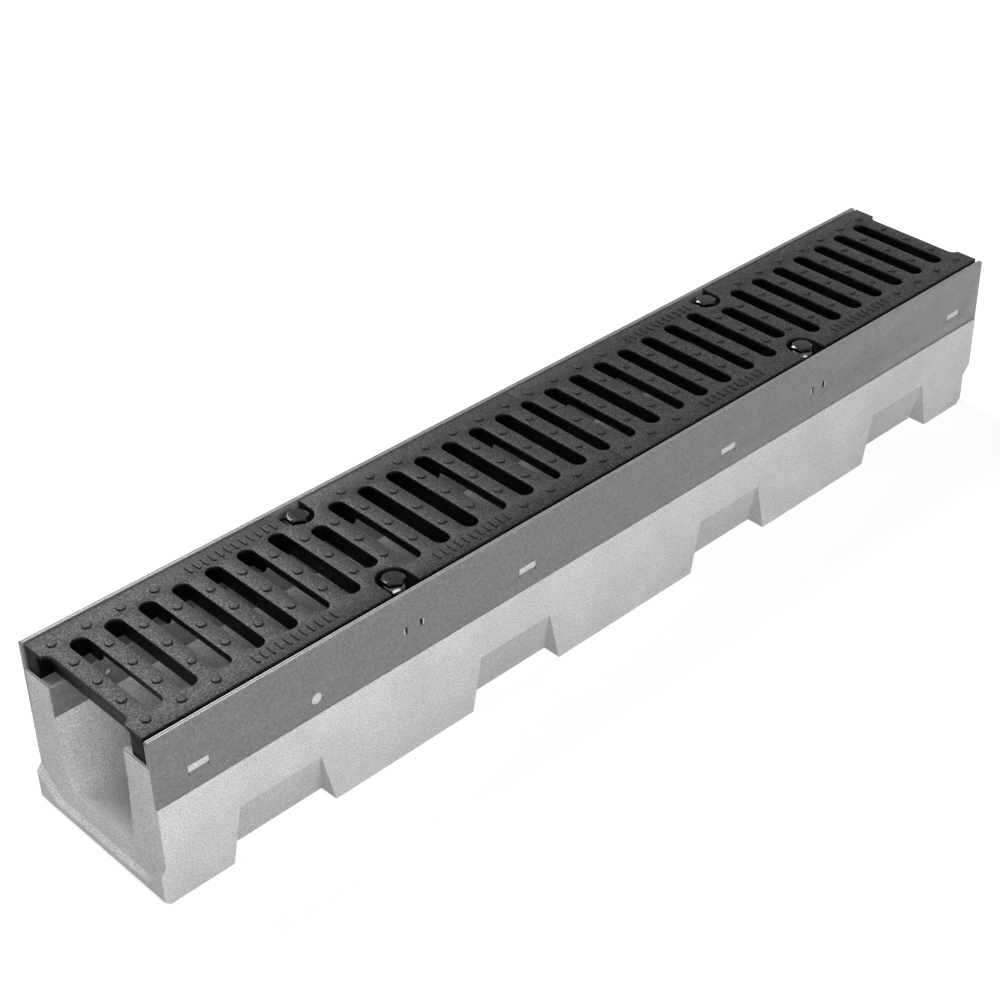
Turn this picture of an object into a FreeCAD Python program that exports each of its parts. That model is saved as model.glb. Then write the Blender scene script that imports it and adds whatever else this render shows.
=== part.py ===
import FreeCAD, Part
import os
import re
import Sketcher
from FreeCAD import Rotation, Vector

# Channel drain, one metre unit: a cast concrete channel with two folded steel edge rails
# and two cast iron slot gratings, each held by two hexagon bolts.
# Frame: +X along the run, from the tongue end to the groove end. Front is -Y. +Z is up.
# Origin: middle of the underside. Millimetres.

doc = FreeCAD.newDocument("channel_drain")
sheet = doc.addObject("Spreadsheet::Sheet", "sizes")

# Driving sizes: name, value, what it is
SIZES = [
    ("length", 1000, "run of one unit"),
    ("height", 160, "underside to grating surface"),
    ("body_width", 165, "concrete over both sides"),
    ("floor_height", 32, "underside to channel floor"),
    ("floor_radius", 18, "corner between floor and wall"),
    ("wall_draft", 5.2, "lean of the inner walls, degrees"),
    ("wall_top", 36.5, "wall and rail beside the clear width"),
    ("sheet", 2.1, "steel sheet of the rails"),
    ("rail_inset", 0.7, "rail face in from the concrete face"),
    ("rail_drop", 0.4, "rail top below the grating surface"),
    ("rail_height", 65, "outer plate, top to lower edge"),
    ("flange_depth", 30, "inner flange below the ledge"),
    ("bend_radius", 3, "outside of the ledge bend"),
    ("hem_radius", 0.9, "rounded top edges of both sheets"),
    ("rail_corner", 1.2, "round of the rail's top corners at its ends"),
    ("tongue_reach", 5, "tongue in front of the end face"),
    ("tongue_side", 37.4, "tongue height at the sides, root"),
    ("tongue_middle", 12.8, "tongue height in the middle, root"),
    ("tongue_ramp", 25.5, "side face to the knee, root"),
    ("tongue_round", 14, "round of the knee"),
    ("tongue_taper", 6.2, "side height lost at the face"),
    ("tongue_lower", 4.5, "lower chamfer of the tongue"),
    ("groove_depth", 8.7, "groove into the far end"),
    ("groove_play", 6, "groove above the tongue"),
    ("recess_top", 79, "side recess, width at its head"),
    ("recess_foot", 101, "side recess, width at the underside"),
    ("recess_height", 52, "side recess, underside to head"),
    ("recess_depth", 18.2, "side recess, depth at the underside"),
    ("recess_head_depth", 1.2, "side recess, depth at its head"),
    ("recess_end", 114.8, "outer recess from the end of the body"),
    ("recess_inner", 135.2, "inner recess from the middle of the body"),
    ("recess_shift", -4.8, "middle of the recesses along X"),
    ("window_width", 19, "lanced window, along X"),
    ("window_height", 6.4, "lanced window, upright"),
    ("window_drop", 48, "grating surface to window sill"),
    ("window_inner", 125, "inner windows from the middle"),
    ("window_end", 40, "outer windows from the end"),
    ("window_fill", 1.7, "concrete standing in windows and holes"),
    ("slit_width", 1, "relief slit at each lower corner of a window"),
    ("slit_depth", 2.6, "relief slit below the sill"),
    ("tab_reach", 6, "anchor tab into the concrete"),
    ("vent_diameter", 10, "round hole in the outer plate"),
    ("vent_place", -349, "round hole along X"),
    ("vent_drop", 50, "grating surface to hole centre"),
    ("flange_hole", 6, "round hole in the inner flange"),
    ("flange_hole_end", 51, "flange hole from the end"),
    ("flange_hole_drop", 40, "grating surface to flange hole"),
    ("grating_depth", 25, "grating over the ledge"),
    ("plate_depth", 4, "straight edge of the slots"),
    ("low_bar_depth", 16.1, "surface to the foot of a low bar"),
    ("low_bar_stop", 0.7, "low bars, short of the ledge"),
    ("bar_foot", 3, "foot of a bar, along X"),
    ("rim_width", 15.5, "deep rim along each side"),
    ("end_inset", 1.1, "grating end in from the rail end"),
    ("joint_gap", 0.6, "between the two gratings"),
    ("side_gap", 3.1, "grating to rail, each side"),
    ("end_slot_out", 1.5, "middle of the half slot beyond the grating's end"),
    ("slot_width", 15.5, "slot, along X"),
    ("slot_margin", 21.3, "side of the grating to the slots"),
    ("short_slot_margin", 37.5, "side of the grating to the middle slot"),
    ("slots_each_side", 8, "slots on each side of the middle one"),
    ("stud_spacing", 30, "stud to stud across"),
    ("stud_margin", 14.5, "side of the grating to the margin studs"),
    ("stud_diameter", 7.8, "stud across"),
    ("stud_height", 1.2, "stud above the surface"),
    ("bolt_inset", 22.4, "bolt in from the rail face"),
    ("bolt_diameter", 12, "bolt shank"),
    ("bolt_length", 35, "bolt under the head"),
    ("head_flats", 18, "bolt head and nut across flats"),
    ("head_height", 7.5, "bolt head"),
    ("hole_play", 1.6, "bolt holes over the shank"),
    ("thread_play", 0.4, "nut bore over the shank"),
    ("washer_diameter", 24, "washer"),
    ("washer_thickness", 2.5, "washer"),
    ("nut_height", 10, "nut"),
    ("pocket_radius", 14.4, "bolt pocket"),
    ("pocket_depth", 9, "surface to lug"),
    ("lug_wall", 6, "lug around the bolt pocket"),
    ("cage_sheet", 1.5, "steel sheet of the nut cage"),
    ("cage_play", 0.2, "nut to cage, each side"),
    ("cage_depth", 18.5, "cage below the ledge"),
    ("tab_height", 6.4, "cage tab in the outer plate"),
    ("tab_drop", 32.6, "grating surface to tab top"),
    ("tab_slot_width", 4.6, "opening for a cage tab"),
    ("tab_slot_play", 0.3, "tab opening above and below"),
    ("tab_slot_inner", 6.4, "tab opening from the bolt axis"),
]
for row, (alias, number, meaning) in enumerate(SIZES, start=1):
    sheet.set(f"A{row}", meaning)
    sheet.set(f"B{row}", str(number))
    sheet.setAlias(f"B{row}", alias)
doc.recompute()
ALIASES = {alias for alias, number, meaning in SIZES}

# Places worked out from the driving sizes
PLACES = {
    "half_width": "(body_width / 2)",
    "rail_face": "(body_width / 2 - rail_inset)",
    "plate_back": "(body_width / 2 - rail_inset - sheet)",
    "leg_face": "(body_width / 2 - rail_inset - 2 * sheet)",
    "rail_top": "(height - rail_drop)",
    "rail_foot": "(height - rail_drop - rail_height)",
    "ledge_top": "(height - grating_depth)",
    "seat": "(height - grating_depth - sheet)",
    "flange_face": "(body_width / 2 - wall_top)",
    "flange_back": "(body_width / 2 - wall_top + sheet)",
    "flange_foot": "(height - grating_depth - flange_depth)",
    "floor_flat": "(flange_back - floor_radius / cos(wall_draft)"
                  " - (flange_foot - floor_height - floor_radius) * tan(wall_draft))",
    "tongue_knee": "(body_width / 2 - tongue_ramp)",
    "recess_pitch": "(length / 2 - recess_end - recess_inner)",
    "window_outer": "(length / 2 - window_end)",
    "flange_hole_place": "(length / 2 - flange_hole_end)",
    "grating_length": "((length - joint_gap) / 2 - end_inset)",
    "grating_place": "((length + joint_gap) / 4 - end_inset / 2)",
    "grating_half_width": "(body_width / 2 - rail_inset - 2 * sheet - side_gap)",
    "slot_pitch": "((grating_length + 2 * end_slot_out) / (2 * slots_each_side))",
    "slot_reach": "(grating_half_width - slot_margin)",
    "short_slot_reach": "(grating_half_width - short_slot_margin)",
    "margin_line": "(grating_half_width - stud_margin)",
    "bolt_offset": "(rail_face - bolt_inset)",
    "lug_top": "(height - pocket_depth)",
    "lug_radius": "(pocket_radius + lug_wall)",
    "cage_half": "(head_flats / 2 + cage_play + cage_sheet)",
    "window_sill": "(height - window_drop)",
    "tab_top": "(height - tab_drop)",
}


def sized(text):
    """Expression over the sheet, from sizes and places named in the text."""
    text = str(text)
    while any(re.search(rf"\b{name}\b", text) for name in PLACES):
        for name, place in PLACES.items():
            text = re.sub(rf"\b{name}\b", place, text)
    return re.sub(r"[a-z][a-z_]*", lambda word: "sizes." + word.group()
                  if word.group() in ALIASES else word.group(), text)


def value(text):
    """Number that an expression has now."""
    return float(sheet.evalExpression(sized(text)))


def bind(obj, **expressions):
    """Bind properties of an object to the sheet; a double underscore stands for a dot."""
    for name, text in expressions.items():
        obj.setExpression(name.replace("__", "."), sized(text))


# Sketch helpers

PLANES = {"XY": "XY_Plane", "XZ": "XZ_Plane", "YZ": "YZ_Plane"}


def origin_feature(body, role):
    return next(item for item in body.Origin.OriginFeatures if item.Role == role)


def sketch_on(body, name, plane, offset="0"):
    """Sketch on an origin plane of its own body, moved along the plane's normal."""
    sketch = body.newObject("Sketcher::SketchObject", name)
    sketch.AttachmentSupport = [(origin_feature(body, PLANES[plane]), "")]
    sketch.MapMode = "FlatFace"
    bind(sketch, AttachmentOffset__Base__z=offset)
    return sketch


def fix(sketch, kind, geometry, point, text):
    index = sketch.addConstraint(Sketcher.Constraint(kind, geometry, point, value(text)))
    sketch.setExpression(f"Constraints[{index}]", sized(text))


def closed_path(sketch, corners):
    """Closed outline. A corner is (u, v), or (u, v, centre_u, centre_v, ccw) where an arc
    about that centre leads to it from the corner before."""
    START, END, CENTRE = 1, 2, 3
    first = sketch.GeometryCount
    spots = [Vector(value(corner[0]), value(corner[1]), 0) for corner in corners]
    for number, corner in enumerate(corners):
        start = spots[number - 1]
        end = spots[number]
        if len(corner) == 2:
            sketch.addGeometry(Part.LineSegment(start, end))
            continue
        centre = Vector(value(corner[2]), value(corner[3]), 0)
        circle = Part.Circle(centre, Vector(0, 0, 1), (start - centre).Length)
        turn = (start, end) if corner[4] else (end, start)
        sketch.addGeometry(Part.ArcOfCircle(circle, *(circle.parameter(spot) for spot in turn)))
    ends = [END if len(corner) == 2 or corner[4] else START for corner in corners]
    starts = [START if end == END else END for end in ends]
    for number, corner in enumerate(corners):
        here = first + number
        following = (number + 1) % len(corners)
        sketch.addConstraint(Sketcher.Constraint(
            "Coincident", here, ends[number], first + following, starts[following]))
        fix(sketch, "DistanceX", here, ends[number], corner[0])
        fix(sketch, "DistanceY", here, ends[number], corner[1])
        if len(corner) > 2:
            chord = spots[number] - spots[number - 1]
            if abs(chord.x) > abs(chord.y):
                fix(sketch, "DistanceY", here, CENTRE, corner[3])
            else:
                fix(sketch, "DistanceX", here, CENTRE, corner[2])


def rectangle(sketch, left, right, low, high):
    closed_path(sketch, [(left, low), (right, low), (right, high), (left, high)])


def circle(sketch, across, up, diameter):
    centre = Vector(value(across), value(up), 0)
    index = sketch.addGeometry(Part.Circle(centre, Vector(0, 0, 1), value(diameter) / 2))
    fix(sketch, "DistanceX", index, 3, across)
    fix(sketch, "DistanceY", index, 3, up)
    row = sketch.addConstraint(Sketcher.Constraint("Diameter", index, value(diameter)))
    sketch.setExpression(f"Constraints[{row}]", sized(diameter))


def polygon(sketch, across, up, diameter, sides):
    """Regular outline with a flat towards +X; the diameter is across flats."""
    step = 360 / sides
    reach = f"({diameter}) / 2 / cos({step / 2})"
    closed_path(sketch, [(f"{across} + {reach} * cos({step * (side + 0.5)})",
                          f"{up} + {reach} * sin({step * (side + 0.5)})")
                         for side in range(sides)])


def slot(sketch, place, half_length, half_width):
    """Slot across the grating with round ends, its middle at the given place along X."""
    left = f"{place} - {half_width}"
    right = f"{place} + {half_width}"
    straight = f"{half_length} - {half_width}"
    closed_path(sketch, [
        (right, straight),
        (left, straight, place, straight, True),
        (left, f"-({straight})"),
        (right, f"-({straight})", place, f"-({straight})", True),
    ])


# Feature helpers

def new_body(label):
    body = doc.addObject("PartDesign::Body", label)
    body.Label = label
    return body


def twin(label, original, turn=0):
    """Second piece made from the drawing of another, turned about Z."""
    body = new_body(label)
    base = body.newObject("PartDesign::FeatureBase", f"{label}_base")
    base.BaseFeature = original
    body.Tip = base
    body.Placement = FreeCAD.Placement(Vector(), Rotation(Vector(0, 0, 1), turn))
    return body


def pad(body, name, sketch, length, reverse=False, both_ways=False):
    feature = body.newObject("PartDesign::Pad", name)
    feature.Profile = sketch
    feature.Reversed = reverse
    if both_ways:
        feature.SideType = "Symmetric"
    bind(feature, Length=length)
    doc.recompute()
    return feature


def pocket(body, name, sketch, depth, reverse=False, both_ways=False):
    """Pocket against the sketch's normal; it has to remove something."""
    before = body.Shape.Volume
    feature = body.newObject("PartDesign::Pocket", name)
    feature.Profile = sketch
    feature.Reversed = reverse
    if both_ways:
        feature.SideType = "Symmetric"
    bind(feature, Length=depth)
    doc.recompute()
    if body.Shape.Volume >= before:
        raise RuntimeError(f"{name} of {body.Label} cuts nothing")
    return feature


def repeat(body, name, feature, count, step):
    """Copies of a feature along X; step is the distance from one to the next."""
    row = body.newObject("PartDesign::LinearPattern", name)
    row.Originals = [feature]
    row.Direction = (origin_feature(body, "X_Axis"), [""])
    bind(row, Occurrences=count, Length=f"({count} - 1) * ({step})")
    body.Tip = row
    doc.recompute()
    return row


def loft(body, kind, name, first, second):
    feature = body.newObject(kind, name)
    feature.Profile = first
    feature.Sections = [second]
    feature.Ruled = True
    doc.recompute()
    return feature


# Concrete channel: one section along the run, tongue, groove and side recesses

def tongue_outline(sketch, foot, side, middle, knee, over="0"):
    """Low band that rises at 45 degrees from a flat middle to both sides."""
    reach = f"(half_width + {over})"
    rise = f"({side} + {over})"
    ease = "tongue_round * tan(22.5)"
    flat = f"({knee} - {ease})"
    ramp_y = f"({knee} + {ease} * cos(45))"
    ramp_z = f"({middle} + {ease} * cos(45))"
    closed_path(sketch, [
        (f"-{reach}", foot),
        (reach, foot),
        (reach, rise),
        (ramp_y, ramp_z),
        (flat, middle, flat, f"{middle} + tongue_round", False),
        (f"-{flat}", middle),
        (f"-{ramp_y}", ramp_z, f"-{flat}", f"{middle} + tongue_round", False),
        (f"-{reach}", rise),
    ])


casting = new_body("channel_casting")
section = sketch_on(casting, "channel_section", "YZ")
wall_foot_y = "(floor_flat + floor_radius * cos(wall_draft))"
wall_foot_z = "(floor_height + floor_radius - floor_radius * sin(wall_draft))"
closed_path(section, [
    ("-half_width", "0"),
    ("half_width", "0"),
    ("half_width", "rail_foot"),
    ("plate_back", "rail_foot"),
    ("plate_back", "seat"),
    ("flange_back", "seat"),
    ("flange_back", "flange_foot"),
    (wall_foot_y, wall_foot_z),
    ("floor_flat", "floor_height", "floor_flat", "floor_height + floor_radius", False),
    ("-floor_flat", "floor_height"),
    (f"-{wall_foot_y}", wall_foot_z, "-floor_flat", "floor_height + floor_radius", False),
    ("-flange_back", "flange_foot"),
    ("-flange_back", "seat"),
    ("-plate_back", "seat"),
    ("-plate_back", "rail_foot"),
    ("-half_width", "rail_foot"),
])
pad(casting, "channel_run", section, "length", both_ways=True)

root = sketch_on(casting, "tongue_root", "YZ", "-length / 2")
tongue_outline(root, "0", "tongue_side", "tongue_middle", "tongue_knee")
face = sketch_on(casting, "tongue_face", "YZ", "-length / 2 - tongue_reach")
tongue_outline(face, "tongue_lower", "(tongue_side - tongue_taper)",
               "(tongue_middle - tongue_taper / 4)", "(tongue_knee + tongue_taper * 3 / 4)")
loft(casting, "PartDesign::AdditiveLoft", "tongue", root, face)

mouth = sketch_on(casting, "groove_mouth", "YZ", "length / 2")
tongue_outline(mouth, "-1", "(tongue_side + groove_play - 1)", "(tongue_middle + groove_play / 2)",
               "tongue_knee", over="1")
deep = sketch_on(casting, "groove_bottom", "YZ", "length / 2 - groove_depth")
tongue_outline(deep, "-1", "(tongue_side + groove_play - groove_depth - 2.7)",
               "(tongue_middle + groove_play / 2 - 2.2)", "(tongue_knee + tongue_taper)", over="1")
loft(casting, "PartDesign::SubtractiveLoft", "groove", mouth, deep)

heel = sketch_on(casting, "groove_heel_section", "XZ")
heel_face = "(length / 2 - groove_depth)"
closed_path(heel, [
    (f"{heel_face} - groove_play", "0"),
    (f"{heel_face} + 1", "0"),
    (f"{heel_face} + 1", "groove_play"),
    (heel_face, "groove_play"),
])
pocket(casting, "groove_heel", heel, "body_width + 2", both_ways=True)

for side, sign in (("front", 1), ("back", -1)):
    for group, start in (("near", "recess_shift - recess_inner - recess_pitch"),
                         ("far", "recess_shift + recess_inner")):
        wedge = casting.newObject("PartDesign::SubtractiveWedge", f"recess_{side}_{group}")
        wedge.AttachmentSupport = [(origin_feature(casting, "XY_Plane"), "")]
        wedge.MapMode = "FlatFace"
        wedge.AttachmentOffset = FreeCAD.Placement(Vector(), Rotation(Vector(1, 0, 0), 90))
        outer = f"{sign} * (half_width + 1)"
        foot = f"{sign} * (half_width - recess_depth)"
        head = f"{sign} * (half_width - recess_head_depth)"
        low, high = ("Zmin", "Zmax") if sign > 0 else ("Zmax", "Zmin")
        low_head, high_head = ("Z2min", "Z2max") if sign > 0 else ("Z2max", "Z2min")
        bind(wedge, Xmin="-recess_foot / 2", Xmax="recess_foot / 2",
             X2min="-recess_top / 2", X2max="recess_top / 2",
             Ymin="0", Ymax="recess_height",
             **{low: foot, high: outer, low_head: head, high_head: outer},
             AttachmentOffset__Base__x=start)
        doc.recompute()
        repeat(casting, f"recess_row_{side}_{group}", wedge, "2", "recess_pitch")

WINDOWS = ("-window_outer", "-window_inner", "window_inner", "window_outer")
for side, sign in (("front", ""), ("back", "-")):
    fills = sketch_on(casting, f"window_fill_{side}", "XZ", f"{sign}plate_back")
    for place in WINDOWS:
        rectangle(fills, f"{place} - window_width / 2", f"{place} + window_width / 2",
                  "window_sill", "window_sill + window_height")
    circle(fills, f"{sign}(vent_place)", "height - vent_drop", "vent_diameter")
    pad(casting, f"window_plugs_{side}", fills, "window_fill", reverse=bool(sign))

cavities = sketch_on(casting, "cage_cavities", "XY", "seat")
for end in ("-", ""):
    for side in ("-", ""):
        place = f"{end}grating_place"
        edges = sorted((f"{side}flange_back", f"{side}plate_back"), key=value)
        rectangle(cavities, f"{place} - cage_half", f"{place} + cage_half", *edges)
pocket(casting, "cage_cavity", cavities, "cage_depth")


# Edge rail: two sheets side by side at the top, folded to a ledge and an inner flange

def edge_rail(label):
    rail = new_body(label)
    profile = sketch_on(rail, f"{label}_section", "YZ")
    bend_in = "(bend_radius - sheet)"
    hem = "(rail_top - hem_radius)"
    closed_path(profile, [
        ("-rail_face", "rail_foot"),
        ("-plate_back", "rail_foot"),
        ("-plate_back", "seat"),
        (f"-flange_back - {bend_in}", "seat"),
        ("-flange_back", f"seat - {bend_in}", f"-flange_back - {bend_in}",
         f"seat - {bend_in}", False),
        ("-flange_back", "flange_foot"),
        ("-flange_face", "flange_foot"),
        ("-flange_face", "ledge_top - bend_radius"),
        ("-flange_face - bend_radius", "ledge_top", "-flange_face - bend_radius",
         "ledge_top - bend_radius", True),
        ("-leg_face", "ledge_top"),
        ("-leg_face", hem),
        ("-leg_face - hem_radius", "rail_top", "-leg_face - hem_radius", hem, True),
        ("-plate_back + hem_radius", "rail_top"),
        ("-plate_back", hem, "-plate_back + hem_radius", hem, True),
        ("-plate_back - hem_radius", "rail_top", "-plate_back - hem_radius", hem, True),
        ("-rail_face + hem_radius", "rail_top"),
        ("-rail_face", hem, "-rail_face + hem_radius", hem, True),
    ])
    pad(rail, f"{label}_fold", profile, "length", both_ways=True)

    windows = sketch_on(rail, f"{label}_window_outline", "XZ", "rail_face")
    tabs = sketch_on(rail, f"{label}_tab_outline", "XZ", "plate_back")
    for place in WINDOWS:
        left = f"{place} - window_width / 2"
        right = f"{place} + window_width / 2"
        closed_path(windows, [
            (left, "window_sill - slit_depth"),
            (f"{left} + slit_width", "window_sill - slit_depth"),
            (f"{left} + slit_width", "window_sill"),
            (f"{right} - slit_width", "window_sill"),
            (f"{right} - slit_width", "window_sill - slit_depth"),
            (right, "window_sill - slit_depth"),
            (right, "window_sill + window_height"),
            (left, "window_sill + window_height"),
        ])
        rectangle(tabs, f"{left} + slit_width", f"{right} - slit_width", "window_sill - sheet",
                  "window_sill")
    circle(windows, "vent_place", "height - vent_drop", "vent_diameter")
    for end in ("-", ""):
        for side in (-1, 1):
            edges = sorted((f"{end}grating_place + {side} * tab_slot_inner",
                            f"{end}grating_place + {side} * (tab_slot_inner + tab_slot_width)"),
                           key=value)
            rectangle(windows, *edges, "tab_top - tab_height - tab_slot_play",
                      "tab_top + tab_slot_play")
    pocket(rail, f"{label}_windows", windows, "sheet")
    pad(rail, f"{label}_anchor_tabs", tabs, "tab_reach", reverse=True)

    bores = sketch_on(rail, f"{label}_bolt_hole_outline", "XY", "ledge_top")
    for end in ("-", ""):
        polygon(bores, f"{end}grating_place", "-bolt_offset", "bolt_diameter + hole_play", 12)
    pocket(rail, f"{label}_bolt_holes", bores, "sheet")
    eyes = sketch_on(rail, f"{label}_flange_hole_outline", "XZ", "flange_back")
    for end in ("-", ""):
        circle(eyes, f"{end}flange_hole_place", "height - flange_hole_drop", "flange_hole")
    pocket(rail, f"{label}_flange_holes", eyes, "sheet")

    ends = sketch_on(rail, f"{label}_end_outline", "XZ", "rail_face")
    low = "rail_top - rail_corner"
    for sign, ccw in (("", True), ("-", False)):
        tip = f"{sign}length / 2"
        inner = f"{sign}(length / 2 - rail_corner)"
        closed_path(ends, [
            (tip, low),
            (inner, "rail_top", inner, low, ccw),
            (inner, "rail_top + 1"),
            (f"{sign}(length / 2 + 1)", "rail_top + 1"),
            (f"{sign}(length / 2 + 1)", low),
        ])
    pocket(rail, f"{label}_end_corners", ends, "2 * sheet")
    return rail


front_rail = edge_rail("edge_rail_front")
rails = [front_rail, twin("edge_rail_back", front_rail, turn=180)]

# The concrete is cast around the anchor tabs of both rails
embedded = doc.addObject("Part::MultiFuse", "embedded_rails")
embedded.Shapes = rails
channel = doc.addObject("Part::Cut", "channel_body")
channel.Base = casting
channel.Tool = embedded
channel.Label = "channel_body"
doc.recompute()


# Grating: a slotted plate over tapered bars, between two deep rims, with a lug under
# each bolt pocket. The bars stand between the slots. Some are low over the clear width.

LOW_BARS = (1.5, 4.5, 6.5)
MARGIN_STUDS = [
    ("back_near", 1, 0, 4),
    ("back_far", 1, 9, 7),
    ("front_near", -1, 0, 3),
    ("front_far", -1, 12, 4),
]


def grating(label):
    body = new_body(label)
    plate = sketch_on(body, f"{label}_plate_outline", "XY", "height")
    half_length = "grating_length / 2"
    rectangle(plate, f"-{half_length}", half_length, "-grating_half_width", "grating_half_width")
    pad(body, f"{label}_plate", plate, "plate_depth", reverse=True)

    rims = sketch_on(body, f"{label}_rim_outline", "XY", "ledge_top")
    for side in ("-", ""):
        edges = sorted((f"{side}(grating_half_width - rim_width)",
                        f"{side}grating_half_width"), key=value)
        rectangle(rims, f"-{half_length}", half_length, *edges)
    pad(body, f"{label}_rims", rims, "grating_depth - plate_depth")

    bars = sketch_on(body, f"{label}_bar_sections", "XZ")
    under_low_bars = sketch_on(body, f"{label}_low_bar_sections", "XZ")
    head = "(slot_pitch - slot_width) / 2"
    plate_foot = "height - plate_depth"
    for step in range(round(value("2 * slots_each_side"))):
        place = f"({step} + 0.5 - slots_each_side) * slot_pitch"
        closed_path(bars, [
            (f"{place} - bar_foot / 2", "ledge_top"),
            (f"{place} + bar_foot / 2", "ledge_top"),
            (f"{place} + {head}", plate_foot),
            (f"{place} - {head}", plate_foot),
        ])
    for place in [f"{sign * spot} * slot_pitch" for spot in LOW_BARS for sign in (-1, 1)]:
        closed_path(under_low_bars, [
            (f"{place} - {head}", "ledge_top - 1"),
            (f"{place} + {head}", "ledge_top - 1"),
            (f"{place} + {head}", plate_foot),
            (f"{place} + bar_foot / 2", "height - low_bar_depth"),
            (f"{place} - bar_foot / 2", "height - low_bar_depth"),
            (f"{place} - {head}", plate_foot),
        ])
    pad(body, f"{label}_bars", bars, "2 * grating_half_width - rim_width", both_ways=True)
    pocket(body, f"{label}_low_bars", under_low_bars, "2 * (flange_face - low_bar_stop)",
           both_ways=True)

    lugs = sketch_on(body, f"{label}_lug_outline", "XY", "ledge_top")
    for side, ccw in (("", False), ("-", True)):
        edge = f"{side}grating_half_width"
        axis = f"{side}bolt_offset"
        closed_path(lugs, [
            ("-lug_radius", edge),
            ("-lug_radius", axis),
            ("lug_radius", axis, "0", axis, not ccw),
            ("lug_radius", edge),
        ])
    pad(body, f"{label}_lugs", lugs, "grating_depth - plate_depth")

    pockets = sketch_on(body, f"{label}_pocket_outline", "XY", "height")
    for side, ccw in (("", False), ("-", True)):
        edge = f"{side}(grating_half_width + 1)"
        axis = f"{side}bolt_offset"
        closed_path(pockets, [
            ("-pocket_radius", edge),
            ("-pocket_radius", axis),
            ("pocket_radius", axis, "0", axis, not ccw),
            ("pocket_radius", edge),
        ])
    pocket(body, f"{label}_bolt_pockets", pockets, "pocket_depth")

    bores = sketch_on(body, f"{label}_bolt_hole_outline", "XY", "lug_top")
    for side in ("-", ""):
        polygon(bores, "0", f"{side}bolt_offset", "bolt_diameter + hole_play", 12)
    pocket(body, f"{label}_bolt_holes", bores, "grating_depth - pocket_depth")

    middle = sketch_on(body, f"{label}_short_slot_outline", "XY", "height")
    slot(middle, "0", "short_slot_reach", "slot_width / 2")
    pocket(body, f"{label}_short_slot", middle, "plate_depth")
    for group, start in (("near", "-slots_each_side * slot_pitch"), ("far", "slot_pitch")):
        outline = sketch_on(body, f"{label}_slot_outline_{group}", "XY", "height")
        slot(outline, start, "slot_reach", "slot_width / 2")
        opening = pocket(body, f"{label}_slot_{group}", outline, "plate_depth")
        repeat(body, f"{label}_slots_{group}", opening, "slots_each_side", "slot_pitch")

    first_row = "(0.5 - slots_each_side) * slot_pitch"
    studs = sketch_on(body, f"{label}_stud_outline", "XY", "height")
    for line in (-1, 0, 1):
        polygon(studs, first_row, f"{line} * stud_spacing", "stud_diameter", 6)
    row = pad(body, f"{label}_stud_row", studs, "stud_height")
    repeat(body, f"{label}_studs", row, "2 * slots_each_side", "slot_pitch")
    for group, side, skipped, count in MARGIN_STUDS:
        dots = sketch_on(body, f"{label}_margin_stud_{group}", "XY", "height")
        polygon(dots, f"{first_row} + {skipped} * slot_pitch", f"{side} * margin_line",
                "stud_diameter", 6)
        dot = pad(body, f"{label}_margin_dot_{group}", dots, "stud_height")
        repeat(body, f"{label}_margin_studs_{group}", dot, count, "slot_pitch")
    return body


left_grating = grating("grating_left")
right_grating = twin("grating_right", left_grating)
bind(left_grating, Placement__Base__x="-grating_place")
bind(right_grating, Placement__Base__x="grating_place")
pieces = [channel, *rails, left_grating, right_grating]


# Fasteners: bolt and washer in the pocket, nut in a cage under the ledge.
# Their rounds have few faces, because they repeat.

def prism(name, sides, reach, foot, height, turn=0):
    """Upright prism; reach is from its axis to a corner."""
    solid = doc.addObject("Part::Prism", name)
    solid.Polygon = sides
    solid.Placement = FreeCAD.Placement(Vector(), Rotation(Vector(0, 0, 1), turn))
    bind(solid, Circumradius=reach, Height=height, Placement__Base__z=foot)
    return solid


def hexagon(name, foot, height):
    """Hexagon with two flats square to the run."""
    return prism(name, 6, "head_flats / 2 / cos(30)", foot, height, turn=30)


def settle(solid, label, place_x, place_y):
    solid.Label = label
    bind(solid, Placement__Base__x=place_x, Placement__Base__y=place_y)
    return solid


def bolt(label, place_x, place_y):
    head_foot = "(lug_top + washer_thickness)"
    head = hexagon(f"{label}_head", head_foot, "head_height")
    shank = prism(f"{label}_shank", 12, "bolt_diameter / 2", f"{head_foot} - bolt_length",
                  "bolt_length + head_height / 2")
    whole = doc.addObject("Part::MultiFuse", label)
    whole.Shapes = [head, shank]
    whole.Refine = True
    return settle(whole, label, place_x, place_y)


def bored(label, blank, foot, height):
    """Blank with a bore over the bolt."""
    bore = prism(f"{label}_bore", 12, "(bolt_diameter + thread_play) / 2", f"{foot} - 1",
                 f"{height} + 2")
    ring = doc.addObject("Part::Cut", label)
    ring.Base = blank
    ring.Tool = bore
    return ring


def washer(label, place_x, place_y):
    disc = prism(f"{label}_disc", 16, "washer_diameter / 2", "lug_top", "washer_thickness")
    return settle(bored(label, disc, "lug_top", "washer_thickness"), label, place_x, place_y)


def nut(label, place_x, place_y):
    foot = "(seat - nut_height)"
    blank = hexagon(f"{label}_blank", foot, "nut_height")
    return settle(bored(label, blank, foot, "nut_height"), label, place_x, place_y)


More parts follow.
